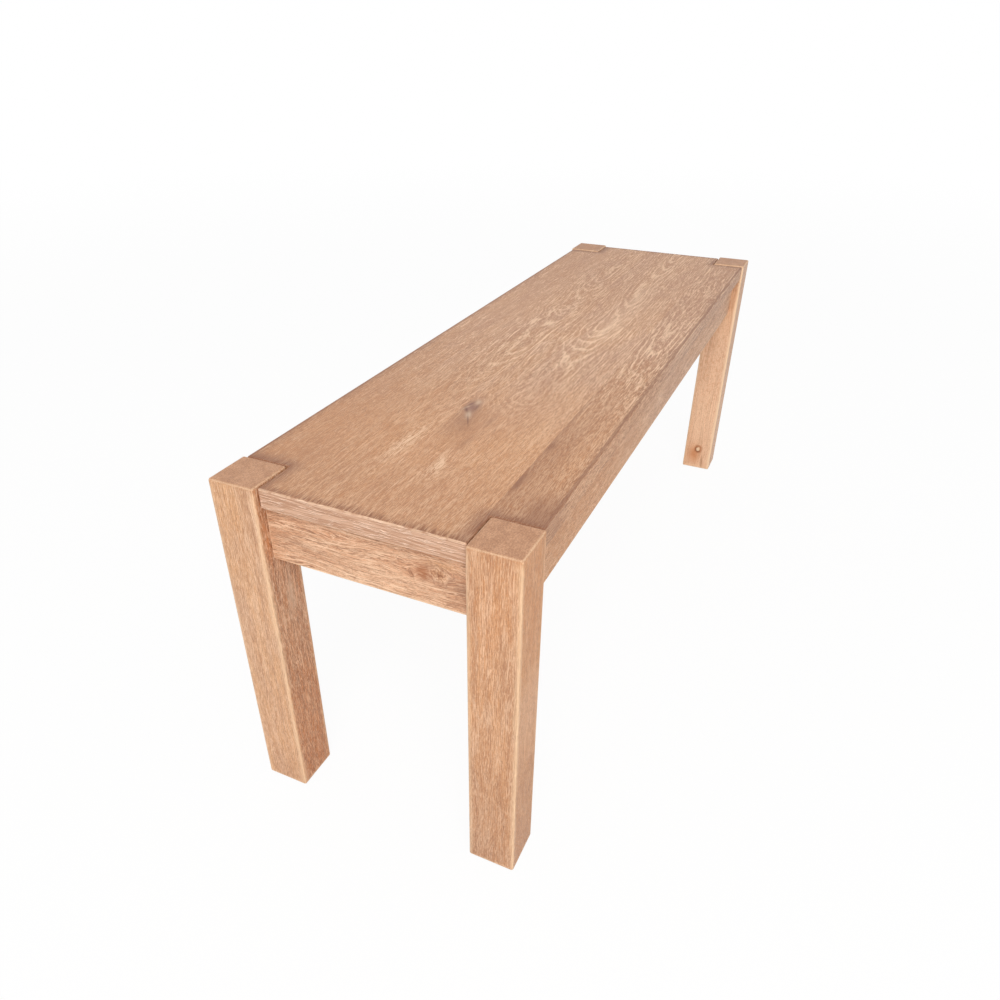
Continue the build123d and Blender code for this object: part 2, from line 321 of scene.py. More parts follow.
class Oak:
    """Limed oak cut from one log. axes are the ways along, across and into the grain.
    heart is where the log's middle lies across and into the grain, and tilt is how fast it sinks.
    loops are bumps on the heart, each with its place along the grain, its reach and its lift.
    knots are the branches that the grain flows round, each with its place and its half sizes.
    sway says how far the rings wander from straight, and drift how many millimetres the fibres do."""

    def __init__(
        self, name, axes, heart, seed,
        ring_gap=4.0, tilt=0.0, loops=(), knots=(), sway=1.0, drift=9.0,
    ):
        self.material, self.shader, self.place = new_material(name)
        self.seed = seed
        along, across, into = (measure(self.place, axis) for axis in axes)
        self.plain = [along, across]
        # Round a knot the grain is pushed aside, the less the farther off it runs
        self.knots = []
        pushed = across
        for middle, reach in knots:
            away = distance((along - middle[0]) / reach[0], (across - middle[1]) / reach[1])
            push = lowest(maths("DIVIDE", 1.0, highest(away * away, 0.01)), 1.0)
            pushed = pushed - (across - middle[1]) * push
            self.knots.append(away)
        self.grain = [along, pushed, into]
        pushed = pushed + (self.noise((85, 26, 26), 17.3) - 0.5) * drift
        self.grain = [along, pushed, into]
        sway_across = (self.noise((330, 120, 120), 0.0) - 0.5) * (20 * sway)
        sway_into = (self.noise((190, 60, 60), 7.3) - 0.5) * (16 * sway)
        ripple = (self.noise((46, 10, 10), 3.1, detail=2.0) - 0.5) * (3.0 * sway)
        depth = into - heart[1] + sway_into
        if tilt:
            depth = depth + along * tilt
        for middle, reach, lift in loops:
            depth = depth - hill(along, middle, reach) * lift
        ring = distance(pushed - heart[0] + sway_across, depth) + ripple
        # turn runs from 0 to 1 through each ring. early is high in its first wood, band in the pores there
        turn = maths("FRACT", ring / ring_gap)
        self.early = ramp(turn, 0.42, 0.06) + ramp(turn, 0.9, 1.0)
        self.band = ramp(turn, 0.18, 0.06) + ramp(turn, 0.94, 1.0)
        self.clouds = self.noise((110, 26, 26), 9.4, detail=2.0)
        self.mood = self.noise((210, 60, 60), 2.2, detail=3.0, rough=0.6)
        self.flock = self.noise((56, 8, 8), 12.1, detail=3.0, rough=0.6)

    def noise(self, sizes, shift, detail=1.0, rough=0.5, aside=0.0):
        """Soft noise that follows the grain. shift picks one noise of many, and aside moves it across."""
        along, across, into = self.grain
        place = [along, across + aside, into + aside] if aside else self.grain
        return noise(place, sizes, self.seed + shift, detail, rough)

    def spot(self, at, reach, turn=0.0, ragged=0.5):
        """A soft patch on the main face, 1 in its middle. turn is in degrees, ragged roughens its rim."""
        along = self.plain[0] - at[0]
        across = self.plain[1] - at[1]
        if turn:
            swing = radians(turn)
            turned = along * cos(swing) + across * sin(swing)
            across = across * cos(swing) - along * sin(swing)
            along = turned
        along = along / reach[0]
        across = across / reach[1]
        away = along * along + across * across
        if ragged:
            away = away + (self.clouds - 0.5) * (2.4 * ragged)
        return lowest(maths("EXPONENT", away * -1.0), 1.0)

    def face(self, axis, at):
        """1 on the flat face that lies at a place along an axis, 0 on the others."""
        return ramp(maths("ABSOLUTE", self.place[axis] - at), 2.2, 0.4)

    def ground(self, warm=OAK_WARM, cool=OAK_COOL, blend=0.5, figure=0.14, lime=0.08, patch=0.30):
        """The wood's own colours: broad patches of two tones, and the late and early wood of the rings."""
        paint = tint(ramp(self.mood + (blend - 0.5), 0.38, 0.62), warm, cool)
        streaks = self.noise((170, 7, 7), 15.0, detail=3.0, rough=0.6)
        paint = tint(ramp(streaks, 0.50, 0.34) * patch, paint, OAK_LATE)
        paint = tint(ramp(streaks, 0.52, 0.66) * patch, paint, OAK_CREAM)
        paint = tint(ramp(self.clouds, 0.52, 0.32) * patch, paint, OAK_LATE)
        paint = tint(ramp(self.flock, 0.48, 0.66) * patch, paint, OAK_CREAM)
        paint = tint((1.0 - self.early) * figure, paint, OAK_LATE)
        self.paint = tint(self.early * lime, paint, OAK_LIME)

    def lay(self, shade, strength, mask):
        """Lays a colour over the wood where the mask is high."""
        self.paint = tint(mask * strength, self.paint, shade)

    def stain(self, shade, strength, at, reach, turn=0.0, ragged=0.5):
        """Lays a colour on one soft patch of the main face."""
        self.lay(shade, strength, self.spot(at, reach, turn, ragged))

    def lines(self, pale=0.34, dark=0.30, size=1.0, pores=0.0, zone=0.3, coarse=0.0, girth=1.0):
        """Fine brushed lines: lime in the open pores, a dark line beside each, and dark hairs between them.
        zone says how strongly the rings show, from 0 to 1, and coarse what part of the lines is long and
        wide. girth says how wide those are, and pores how closely the pale lines crowd."""
        lift = self.early * (0.02 + 0.07 * zone)
        lift = lift + (self.flock - 0.5) * (0.09 + 0.08 * coarse)
        lift = lift + pores - 0.01 - 0.042 * coarse
        bold = (coarse - 1.0) * 0.10
        short_dashes = ((6.0, 0.55, 1.7, 0.0), (14.0, 0.8, 4.6, 0.0))
        long_dashes = ((32.0, 0.95 * girth, 2.9, bold), (64.0, 1.3 * girth, 8.8, bold))
        pales = []
        shadows = []
        for length, width, shift, extra in short_dashes + long_dashes:
            sizes = (length * size, width * size, width * size)
            for masks, aside in ((pales, 0.0), (shadows, 0.9 * width * size)):
                dashes = self.noise(sizes, shift, aside=aside) + (lift + extra)
                masks.append(ramp(dashes, 0.57, 0.63))
        gaps = self.noise((16.0, 2.0, 2.0), 6.7, detail=2.0, rough=0.6)
        rings = self.band * ramp(gaps, 0.42, 0.58) * zone
        self.pale = highest(highest(*pales), rings * 0.8)
        self.hairs = self.noise((20.0 * size, 0.8 * size, 0.8 * size), 5.9, detail=2.0, rough=0.65)
        self.dark = highest(highest(*shadows), ramp(self.hairs, 0.46, 0.36) * 0.8) * (1.0 - self.pale)
        self.lay(OAK_LATE, 0.45, ramp(noise(self.place, (2.0, 2.0, 2.0), self.seed, 2.0, 0.6), 0.5, 0.34))
        self.lay(OAK_DARK, dark, self.dark)
        self.lay(OAK_LIME, pale, self.pale)

    def knot(self, number):
        """Paints one of the knots: a brown halo, a broken pale collar and a dark heart."""
        rough = noise(self.place, (2.6, 2.6, 2.6), 40.0, 3.0, 0.6) - 0.5
        away = self.knots[number] + rough * 1.3 + (noise(self.place, (9, 9, 9), 43.0) - 0.5) * 1.6
        broken = ramp(rough, -0.12, 0.04)
        self.lay(OAK_STAIN, 0.36, ramp(away, 2.2, 1.1))
        self.lay(OAK_GOLD, 0.22, ramp(away, 1.0, 0.7))
        self.lay(OAK_STAIN, 0.60, ramp(away, 0.9, 0.5) * (1.0 - broken))
        self.lay(OAK_CREAM, 0.75, hill(away, 0.95, 0.20) * broken)
        self.lay(OAK_STAIN, 0.40, hill(away, 1.3, 0.18) * ramp(rough, 0.08, -0.08))
        self.lay(OAK_KNOT, 0.75, ramp(away, 0.36, 0.14))

    def wear_and_highlight(self, low, high, strength=0.6, width=3.0):
        """Pale wear and a painted highlight along the arrises of the box that the piece fills."""
        ragged = (self.hairs - 0.5) * 4.0 + (self.flock - 0.5) * (width - 3.0) * 3.0
        self.lay(PALE_WEAR_AND_HIGHLIGHT, strength, ramp(edge_distance(self.place, low, high) + ragged, width, width * 0.2))

    def finish(self, roughness=0.46, relief=0.22):
        """Joins the paint, the gloss and a relief of the given depth in millimetres to the shader."""
        tree = self.material.node_tree
        tree.links.new(self.paint, self.shader.inputs["Base Color"])
        rough = self.pale * 0.16 + (self.mood - 0.5) * 0.12 + roughness
        plug(tree, self.shader.inputs["Roughness"], rough)
        self.shader.inputs["Specular IOR Level"].default_value = 0.35
        height = 0.75 - self.dark * 0.6 - self.pale * 0.3 + self.hairs * 0.25
        bump(self.shader, height, relief * MM)
        return self.material


def dress(node, material):
    """Gives a CAD node one material."""
    mesh = NODES[node].data
    mesh.materials.clear()
    mesh.materials.append(material)


def box_of(*names):
    """The lowest and highest corners of some nodes together, in millimetres."""
    boxes = [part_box(name) for name in names]
    low = [min(box[0][i] for box in boxes) / MM for i in range(3)]
    high = [max(box[1][i] for box in boxes) / MM for i in range(3)]
    return low, high


# Seat boards

BOARDS = ["top_board_front", "top_board_middle_front", "top_board_middle_back", "top_board_back"]
SEAT_LOW, SEAT_HIGH = box_of(*BOARDS)
SEAT_TOP = SEAT_HIGH[2]
LEG_LOW = box_of("leg_back_right")[0]
CORNERS = ["front_left", "front_right", "back_left", "back_right"]
FRONT_SEAM = box_of("top_board_front")[1][1]

# The dead knot's place along and across the seat
DEAD_KNOT = (-314, 12)


def finish_board(wood, extras=None, cluster=0.0, pores=0.0, dark=0.30, coarse=0.0, **lines):
    """The marks that run over all the boards: lines, darker wood by the rim, darker wax and painted shade
    by the legs, painted shade along the long arrises, and sawn ends.
    cluster is high where pale dashes crowd together. extras lays what stands over the lines."""
    x, y = (maths("ABSOLUTE", part) for part in wood.place[:2])
    by_leg = distance(highest(LEG_LOW[0] - x, 0.0), highest(LEG_LOW[1] - y, 0.0))
    rim = lowest(SEAT_HIGH[0] - x, SEAT_HIGH[1] - y)
    ragged = (wood.clouds - 0.5) * 16.0
    top = ramp(wood.place[2], SEAT_TOP - 3.0, SEAT_TOP - 0.6)
    left_end = ramp(wood.place[0], -440, -560)
    right_rim = ramp(wood.place[0], SEAT_HIGH[0] - 14.0, SEAT_HIGH[0] - 4.0)
    wood.lay(OAK_TAN, 0.60, ramp(wood.place[0] + ragged * 4.0, -140, -430))
    wood.lay(OAK_LATE, 0.42, ramp(wood.place[0] + ragged * 4.0, 0, 300))
    wood.lay(OAK_LATE, 0.28, ramp(wood.place[1], 0, 120) * ramp(wood.place[0], 260, 0))
    wood.lay(OAK_STAIN, 0.16, left_end * top)
    # Painted shade, with darker wax, where the seat meets the legs
    wood.lay(OAK_STAIN, 0.55, ramp(by_leg + ragged, 26.0, 2.0) * top)
    wood.lay(OAK_STAIN, 0.36, ramp(rim + ragged, 16.0, 2.0) * top)
    wood.lay(OAK_STAIN, 0.45, right_rim * top)
    right_part = ramp(wood.place[0], -350, 60) * top
    middle_part = hill(wood.place[0], -120, 170) * top
    wood.lines(
        pale=right_part * 0.32 + middle_part * 0.16 + cluster * 0.34 + 0.34,
        dark=middle_part * 0.16 - right_part * 0.12 + dark,
        pores=cluster * 0.05 + pores,
        coarse=highest(right_part, coarse),
        girth=1.7,
        **lines,
    )
    hairlines = ramp(wood.noise((46, 0.6, 0.6), 36.0) + (wood.flock - 0.5) * 0.30, 0.66, 0.72)
    wood.lay(OAK_LIME, 0.42, hairlines * (1.0 - right_part) * top)
    # More painted shade, with darker wax, close round the legs
    wood.lay(OAK_STAIN, 0.34, ramp(by_leg + ragged, 22.0, 2.0) * top)
    if extras:
        extras(wood)
    gaps = ramp(wood.noise((26, 1.5, 1.5), 8.2, detail=2.0), 0.45, 0.53)
    reach = (wood.noise((40, 1.7, 1.7), 21.0) - 0.5) * 30.0
    strokes = ramp(lowest(SEAT_HIGH[0] - x, by_leg) + reach, 10.0, 2.0)
    wood.lay(OAK_KNOT, 0.72, strokes * gaps * top)
    # Painted shade along the seat's long arrises, where they round away from the light
    long_arris_shade = ramp(SEAT_HIGH[1] - y + ragged * 0.1, 6.0, 3.0) * ramp(rim, 0.0, 1.0)
    wood.lay(OAK_STAIN, 0.62, long_arris_shade * top)
    sawn_ends(wood)
    dress(wood.material.name, wood.finish())


def sawn_ends(wood):
    """Level streaks of lime and brown on the seat's two sawn ends, with their long arrises worn pale."""
    x, y, z = wood.place
    ends = ramp(maths("ABSOLUTE", x), SEAT_HIGH[0] - 2.0, SEAT_HIGH[0] - 0.6)
    broad = noise([y, z, x], (60, 2.4, 20), 30.0, 2.0, 0.6)
    fine = noise([y, z, x], (13, 0.75, 8), 33.0, 2.0, 0.6)
    beside = noise([y, z + 0.6, x], (13, 0.75, 8), 33.0, 2.0, 0.6)
    paint = tint(ramp(broad, 0.40, 0.60), SAWN_BROWN, SAWN_PALE)
    paint = tint(ramp(beside, 0.54, 0.62) * 0.65, paint, SAWN_DARK)
    paint = tint(ramp(fine, 0.55, 0.63) * 0.80, paint, SAWN_LIME)
    lower_arris = ramp(z, SEAT_LOW[2] + 2.4, SEAT_LOW[2] + 1.0)
    upper_arris = ramp(z, SEAT_TOP - 3.2, SEAT_TOP - 1.8) * 0.7
    worn = highest(lower_arris, upper_arris) * ramp(wood.flock, 0.40, 0.56)
    paint = tint(worn * 0.55, paint, OAK_LIME)
    wood.paint = tint(ends, wood.paint, paint)


def front_board():
    """The narrow board at the front, darker to the left, with an orange side."""
    wood = Oak(
        "top_board_front", BOARD_AXES, (-146, SEAT_TOP - 36), 1.0, tilt=-0.035,
        loops=[(355, 40, 7)], sway=0.6, drift=5.0,
    )
    along = wood.plain[0]
    side = wood.face(1, SEAT_LOW[1])
    left = ramp(along, 20, -160)
    wood.ground(cool=FRONT_COOL, blend=0.6, patch=0.24)
    wood.lay(OAK_ORANGE, 0.95, side * ramp(along, 100, -250))
    wood.lay(OAK_STAIN, 0.45, side)
    wood.lay(OAK_LATE, left * 0.44 + 0.30, 1.0 - side)
    wood.lay(OAK_ORANGE, 0.28, left * (1.0 - side))
    zone = hill(along, 60, 130) * 0.6 + hill(along, 355, 50) * 0.6 + 0.2
    cluster = side * 0.4 + left * (1.0 - side) * 0.3
    dark = side * 0.18 + left * 0.10 + 0.30
    finish_board(wood, seam_stains, cluster, dark=dark, zone=zone)


def seam_stains(wood):
    """Where the front board is darker than the board it is glued to."""
    wood.stain(OAK_STAIN, 0.36, (-400, FRONT_SEAM - 15), (140, 26))
    wood.stain(OAK_STAIN, 0.42, (-520, FRONT_SEAM - 41), (46, 28))
    wood.stain(OAK_STAIN, 0.75, (-472, FRONT_SEAM - 3), (22, 4.5), ragged=0.3)
    wood.stain(OAK_STAIN, 0.50, (-375, FRONT_SEAM - 4), (16, 4.5), ragged=0.3)
    wood.stain(OAK_STAIN, 0.30, (-330, FRONT_SEAM), (150, 5.0), ragged=0.2)
    wood.stain(OAK_STAIN, 0.42, (-526, FRONT_SEAM - 47), (32, 17))


def dead_knot(wood):
    x, y = DEAD_KNOT
    wood.stain(OAK_STAIN, 0.34, (x - 52, y - 10), (38, 18), ragged=0.4)
    wood.stain(OAK_STAIN, 0.34, (x - 11, y - 4), (36, 12), turn=12)
    wood.stain(KNOT_PURPLE, 0.95, (x - 1, y - 2), (20, 8.5), turn=10, ragged=0.3)
    wood.stain(OAK_GREY, 0.85, (x - 24, y - 8), (12, 3.8), turn=24, ragged=0.3)
    wood.stain(OAK_GREY, 0.80, (x - 4, y + 4), (7, 1.6), turn=-14, ragged=0.2)
    wood.stain(OAK_GREY, 0.80, (x + 16, y - 3), (8, 4.0), turn=10, ragged=0.3)
    wood.stain(KNOT_DARK, 0.80, (x - 11, y + 1), (8, 2.2), turn=30, ragged=0.3)
    wood.stain(KNOT_DARK, 0.65, (x + 8, y + 3), (9, 1.8), turn=-10, ragged=0.3)
    wood.stain(KNOT_DARK, 0.45, (x + 2, y - 8), (9, 2.0), turn=6, ragged=0.3)
    wood.stain(KNOT_DARK, 0.70, (x - 40, y - 15), (15, 1.1), turn=26, ragged=0.1)
    wood.stain(OAK_STAIN, 0.34, (x - 96, y - 39), (20, 5))
    wood.stain(OAK_STAIN, 0.34, (x - 31, y - 41), (15, 4.5))
    wood.stain(OAK_LATE, 0.30, (x - 64, y - 30), (60, 14))


def middle_front_board():
    """The board with the dead knot, and with pale flames to the right of it."""
    wood = Oak(
        "top_board_middle_front", BOARD_AXES, (-40, SEAT_TOP - 44), 2.0, tilt=-0.05,
        loops=[(-262, 34, 8), (40, 80, 5), (250, 100, 6)],
        knots=[(DEAD_KNOT, (15, 6))], drift=6.0,
    )
    along, across = wood.plain
    wood.ground(blend=0.5, patch=0.22)
    wood.stain(OAK_CREAM, 0.45, (150, -56), (190, 20))
    wood.stain(OAK_LIME, 0.50, (62, -52), (46, 6))
    wood.stain(OAK_LIME, 0.40, (250, -50), (70, 5))
    wood.stain(OAK_CREAM, 0.30, (-330, -100), (150, 22))
    pale_patch = hill(across, -25, 10) * hill(along, -478, 34)
    zone = hill(across, -45, 26) * ramp(along, -240, -60) + pale_patch * 0.4
    zone = zone + hill(along, -262, 36) * hill(across, -32, 20) + 0.2
    finish_board(wood, dead_knot, pale_patch, zone=zone)


def middle_back_board():
    """The board with the broadest flames, and with a row of long straight lines towards its back."""
    wood = Oak(
        "top_board_middle_back", BOARD_AXES, (50, SEAT_TOP - 44), 3.0, tilt=-0.06,
        loops=[(-90, 85, 6), (134, 20, 5), (370, 90, 6)], drift=6.0,
    )
    along, across = wood.plain
    wood.ground(blend=0.45, patch=0.22)
    pale_patch = hill(across, 36, 12) * hill(along, -436, 56)
    wood.lay(OAK_CREAM, 0.25, ramp(across, 70, 100))
    flames = hill(along, -50, 130) + ramp(along, 60, 200) * 0.6
    zone = hill(across, 46, 24) * flames + pale_patch * 0.4 + 0.2
    long_lines = hill(across, 74, 9) * ramp(along, -500, -430)
    pores = ramp(across, 60, 120) * -0.03
    finish_board(wood, cluster=pale_patch, pores=pores, coarse=long_lines, zone=zone)


def back_board():
    """The narrow board at the back, with the quietest figure."""
    wood = Oak("top_board_back", BOARD_AXES, (260, SEAT_TOP - 20), 4.0)
    wood.ground(blend=0.45, figure=0.12, lime=0.10, patch=0.22)
    wood.stain(OAK_CREAM, 0.25, (150, 150), (420, 40))
    finish_board(wood, zone=0.05, pores=-0.03)


# Legs


def leg(corner, heart, seed, knots=(), patch=0.44, **ground):
    """One post. The log's heart and its knots are given from the post's lowest corner."""
    node = "leg_" + corner
    low, high = box_of(node)
    heart = (low[1] + heart[0], low[0] + heart[1])
    knots = [((up, low[1] + across), reach) for (up, across), reach in knots]
    wood = Oak(node, LEG_AXES, heart, seed, ring_gap=2.6, knots=knots, sway=0.7)
    wood.low = low
    wood.high = high
    wood.ground(patch=patch, **ground)
    return wood


def finish_leg(wood, pale=0.34, dark=0.30, wear_and_highlight=0.50, extras=None):
    """Grain, a smooth darker sawn top, and arrises worn pale and painted with a highlight."""
    long_streaks = wood.noise((120, 3.2, 3.2), 18.0, detail=2.0)
    wood.lay(OAK_LATE, 0.30, ramp(long_streaks, 0.48, 0.36))
    wood.lines(pale, dark)
    if extras:
        extras(wood)
    mottle = noise(wood.place, (14, 14, 14), wood.seed, 3.0, 0.6)
    pores = noise(wood.place, (1.5, 1.5, 1.5), wood.seed, 2.0)
    top = tint(ramp(mottle, 0.38, 0.62), POST_TOP_BROWN, POST_TOP_PALE)
    top = tint(wood.early * 0.16, top, OAK_CREAM)
    top = tint(ramp(pores, 0.48, 0.34) * 0.40, top, OAK_STAIN)
    top = tint(ramp(pores, 0.54, 0.66) * 0.30, top, OAK_CREAM)
    top = tint(ramp(wood.place[0], 0, 100) * 0.12, top, OAK_STAIN)
    depth = wood.high[2] - wood.place[2]
    wood.paint = tint(ramp(depth, 3.0, 0.5) * 0.92, wood.paint, top)
    # A broad soft painted highlight down the post's arrises, then a narrow pale wear with painted highlight
    wood.wear_and_highlight(wood.low, wood.high, strength=ramp(depth, 2.0, 12.0) * 0.40, width=7.0)
    wood.wear_and_highlight(wood.low, wood.high, strength=wear_and_highlight, width=2.4)
    dress(wood.material.name, wood.finish())


def grey_strip(wood):
    """The pale grey strip inside the back left leg, under the apron."""
    x = wood.place[0]
    z = wood.place[2]
    strip = hill(z, 308, 30) * hill(x, wood.low[0] + 33, 6)
    wood.lay(OAK_GREY, 0.50, wood.face(1, wood.low[1]) * strip)


def branch_stub(wood):
    """The small knot low on the front right leg: a dark rim round a pale heart, which is partly a painted
    glint, over a red-brown stain and a check. The arris beside it is worn pale and painted with a highlight."""
    side = wood.low[1]
    slant = wood.plain[0] - wood.plain[1] + side
    away = wood.knots[0] + (noise(wood.place, (4, 4, 4), 40.0, 2.0) - 0.5) * 0.5
    wood.stain(OAK_RED, 0.75, (38, side + 38), (24, 13))
    wood.lay(STUB_BROWN, 0.75, ramp(away, 1.7, 1.0))
    wood.lay(OAK_KNOT, 0.85, ramp(away, 1.2, 0.9) * ramp(slant, 27, 18))
    # The pale heart, partly a painted glint
    wood.lay(PALE_WEAR_AND_HIGHLIGHT, 0.85, ramp(away, 0.80, 0.40))
    wood.stain(OAK_KNOT, 0.70, (18, side + 18), (15, 1.3), turn=4, ragged=0.1)
    # The arris down the near face, worn pale and painted with a highlight
    worn = ramp(wood.place[1] + (wood.flock - 0.5) * 6.0, side + 6.0, side + 2.5)
    wood.lay(OAK_LIME, 0.75, worn * wood.face(0, wood.low[0]))


def back_left_leg():
    """The left leg at the back, red inside, with the grey strip there."""
    wood = leg("back_left", (-90, 30), 11.0, warm=OAK_GOLD, cool=BACK_LEG_COOL, figure=0.16)
    inner = wood.face(1, wood.low[1])
    z = wood.place[2]
    streaks = wood.noise((140, 4, 4), 31.0, detail=2.0, rough=0.6)
    wood.lay(OAK_RED, 0.72, inner)
    wood.lay(OAK_RED, inner * 0.50 + 0.08, ramp(z, 220, 120))
    wood.lay(OAK_STAIN, 0.30, inner * ramp(streaks, 0.54, 0.40))
    wood.lay(OAK_CREAM, 0.20, hill(z, 270, 50))
    lower_part = inner * ramp(z, 210, 150)
    pale = inner * 0.18 - lower_part * 0.16 + 0.40
    finish_leg(wood, pale, dark=inner * 0.28 + 0.36, extras=grey_strip)


def front_left_leg():
    """The near leg, whose outer side has a step of tone, as if two lengths met there."""
    wood = leg("front_left", (-140, 30), 12.0, warm=NEAR_LEG_WARM, cool=OAK_WARM, figure=0.16)
    side = wood.face(1, wood.low[1])
    x = wood.place[0]
    z = wood.place[2]
    wood.lay(OAK_ORANGE, 0.80, side)
    wood.lay(OAK_RED, 0.12, ramp(z, 300, 400))
    wood.lay(OAK_STAIN, 0.22, ramp(z, 220, 130))
    step = ramp(z + (x - wood.low[0]) * 0.16, 174.6, 176.6)
    pale_part = (ramp(z, 180, 250) * 0.6 + 0.4) * ramp(z, 330, 270)
    wood.lay(OAK_CREAM, 0.34, side * step * pale_part)
    wood.lay(OAK_STAIN, 0.16, side * ramp(z, 90, 20))
    finish_leg(wood)


def front_right_leg():
    """The far leg at the front, painted paler than the rest as painted light, with the stub of a branch near
    its foot.
    """
    knots = [((51, 30), (7.5, 6.5))]
    # The whole post is painted pale blond as painted light, for the lamp falling strongly on its near face
    wood = leg("front_right", (90, -90), 13.0, knots, patch=0.16, warm=PAINTED_LIGHT_BLOND, cool=PAINTED_LIGHT_BLOND, figure=0.08)
    y = wood.place[1]
    z = wood.place[2]
    specks = ramp(noise(wood.place, (4, 4, 7), wood.seed, 3.0, 0.6), 0.50, 0.60)
    wood.lay(OAK_RED, 0.34, specks * (hill(z, 250, 110) * 0.8 + 0.2))
    wood.lay(OAK_STAIN, 0.10, ramp(z, 180, 280))
    wood.lay(OAK_GOLD, 0.40, wood.face(0, wood.low[0]) * ramp(z, 300, 390))
    wood.lay(OAK_RED, 0.50, hill(y, wood.high[1], 7) * ramp(z, 240, 60))
    wood.lay(OAK_STAIN, 0.34, wood.face(1, wood.low[1]))
    finish_leg(wood, dark=0.14, wear_and_highlight=0.85, extras=branch_stub)


def back_right_leg():
    finish_leg(leg("back_right", (-90, 30), 14.0, warm=OAK_GOLD), wear_and_highlight=0.85)


# Aprons, with the places of the left short one's two knots along Y and up

END_KNOT = (-88, 415)
SMALL_KNOT = (-56, 409)


def side_aprons():
    """The two long aprons, more orange to the left."""
    for number, side in enumerate(("front", "back")):
        node = "side_apron_" + side
        low, high = box_of(node)
        heart = ((low[2] + high[2]) / 2, low[1] - 60)
        wood = Oak(node, SIDE_APRON_AXES, heart, 20.0 + number, tilt=0.03)
        wood.ground(patch=0.50)
        wood.lay(OAK_ORANGE, 0.75, ramp(wood.place[0], 0, -350))
        wood.lines(pale=0.48, dark=0.46)
        wood.wear_and_highlight(low, high)
        dress(node, wood.finish())


def end_apron(side, seed, knots=(), under=None, over=None):
    """A short apron. under lays the marks that its lines cover, and over those that cover the lines."""
    node = "end_apron_" + side
    low, high = box_of(node)
    heart = ((low[2] + high[2]) / 2, low[0] - 40)
    wood = Oak(node, END_APRON_AXES, heart, seed, tilt=0.05, knots=knots, sway=0.5, drift=18.0)
    wood.ground(warm=END_APRON_WARM, cool=END_APRON_COOL, figure=0.10)
    streaks = wood.noise((24, 2.0, 2.0), 16.0, detail=3.0, rough=0.65)
    wood.lay(OAK_STAIN, 0.55, ramp(streaks, 0.44, 0.32))
    wood.stain(OAK_STAIN, 0.40, (95, 406), (30, 4), turn=6)
    if under:
        under(wood)
    wood.lines(pale=0.50, dark=0.62, size=1.1, zone=0.1, coarse=0.5)
    if over:
        over(wood)
    wood.wear_and_highlight(low, high)
    dress(node, wood.finish())


def knot_shade(wood):
    """The brown and gold that lie round the left apron's knot, under the lines."""
    y, z = END_KNOT
    wood.stain(OAK_STAIN, 0.75, (y + 17, z - 2), (7, 12), ragged=0.3)
    wood.stain(OAK_GOLD, 0.60, (y - 4, z + 11), (16, 5), ragged=0.3)


def knot_marks(wood):
    """The left apron's knot, with the small dark one beside it and brown round both."""
    y, z = END_KNOT
    wood.knot(0)
    wood.stain(OAK_KNOT, 0.75, SMALL_KNOT, (1.5, 4.2), turn=-24, ragged=0.2)
    wood.stain(STUB_BROWN, 0.66, (y + 18, z - 1), (9, 12), ragged=0.4)
    wood.stain(OAK_STAIN, 0.40, (y - 24, z - 8), (9, 12), ragged=0.4)


def end_aprons():
    knots = [(END_KNOT, (10, 8)), (SMALL_KNOT, (3, 4.5))]
    end_apron("left", 24.0, knots, knot_shade, knot_marks)
    end_apron("right", 25.0)


# Inner wood

PINE = colour(222, 186, 140)
PINE_WARM = colour(214, 172, 124)
PINE_LATE = colour(190, 142, 98)
BEECH = colour(224, 190, 152)


def bare_wood(node, axes, heart, seed):
    """Planed pine, with faint ripples across the grain from the plane."""
    wood = Oak(node, axes, heart, seed, ring_gap=5.0)
    wood.ground(warm=PINE, cool=PINE_WARM, figure=0.0, lime=0.0, patch=0.1)
    wood.lay(PINE_LATE, 0.55, wood.band)
    wood.lines(pale=0.10, dark=0.14, zone=0.0)
    wood.lay(PINE_LATE, 0.12, ramp(maths("SINE", wood.plain[0] * 1.4), 0.2, 1.0))
    wood.wear_and_highlight(*box_of(node), strength=0.25, width=1.5)
    dress(node, wood.finish(roughness=0.62, relief=0.2))


def inner_wood():
    """The pine blocks, cleats and cross rail under the seat, and the rail's beech dowels."""
    for number, corner in enumerate(CORNERS):
        block = "corner_block_" + corner
        low = box_of(block)[0]
        bare_wood(block, BLOCK_AXES, (low[0] - 30, low[1] - 50), 40.0 + number)
        cleat = "top_cleat_" + corner
        low = box_of(cleat)[0]
        bare_wood(cleat, BOARD_AXES, (low[1] - 20, low[2] - 35), 50.0 + number)
    low = box_of("cross_rail")[0]
    bare_wood("cross_rail", END_APRON_AXES, (low[2] + 20, low[0] - 30), 60.0)
    wood = Oak("cross_rail_dowels", DOWEL_AXES, (20, 400), 64.0, ring_gap=2.0)
    wood.ground(warm=BEECH, cool=BEECH, figure=0.1, lime=0.0, patch=0.1)
    wood.lines(pale=0.1, dark=0.25, size=0.6, zone=0.0)
    dress("cross_rail_dowels", wood.finish(roughness=0.6, relief=0.1))


# Steel and plastic

ZINC = colour(196, 200, 204)
ZINC_DULL = colour(150, 154, 158)
YELLOW_ZINC = colour(206, 184, 122)
YELLOW_ZINC_DULL = colour(172, 128, 96)
GLIDE_BROWN = colour(112, 86, 64)
GLIDE_SCUFF = colour(164, 140, 116)


def steel(name, bright, dull):
    """Plated steel, with blotches in the plating and fine handling marks."""
    material, shader, place = new_material(name)
    tree = material.node_tree
    blotches = noise(place, (2.5, 2.5, 2.5), 3.0, 3.0, 0.6)
    marks = noise(place, (0.25, 0.25, 3.0), 7.0, 2.0)
    paint = tint(ramp(blotches, 0.40, 0.62), bright, dull)
    tree.links.new(tint(ramp(marks, 0.58, 0.70) * 0.4, paint, bright), shader.inputs["Base Color"])
    shader.inputs["Metallic"].default_value = 1.0
    plug(tree, shader.inputs["Roughness"], blotches * 0.25 + marks * 0.15 + 0.16)
    bump(shader, marks + blotches, 0.03 * MM, 0.5)
    return material


